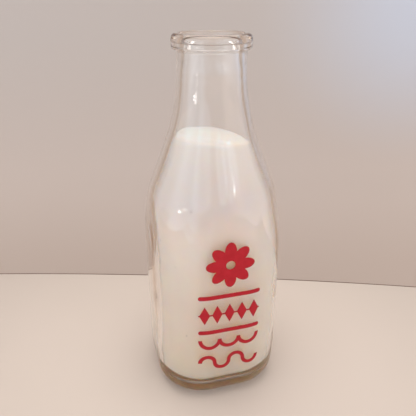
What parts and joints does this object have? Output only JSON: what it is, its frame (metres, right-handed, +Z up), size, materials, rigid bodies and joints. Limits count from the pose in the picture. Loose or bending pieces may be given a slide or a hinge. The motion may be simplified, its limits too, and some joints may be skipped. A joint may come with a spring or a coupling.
{
  "type": "glass milk bottle",
  "caption": "Clear square-bodied glass milk bottle with rounded corners, a round neck and beaded rim with a cap seat, a red printed front and a dry white filling.",
  "frame": {"origin": "centre of the base, on the surface the bottle stands on", "axes": "+Z up along the bottle's axis, -Y out of the printed face"},
  "size_m": [0.0882, 0.0884, 0.241],
  "materials": {
    "clear_glass": "clear, polished",
    "white_filling": "matte, off-white",
    "red_enamel": "fired enamel, low gloss"
  },
  "bodies": {
    "root": {"bottle": "clear_glass", "filling": "white_filling", "print_flower": "red_enamel", "print_upper_bar": "red_enamel", "print_diamonds": "red_enamel", "print_lower_bar": "red_enamel", "print_scallops": "red_enamel", "print_wave": "red_enamel"}
  },
  "joints": []
}
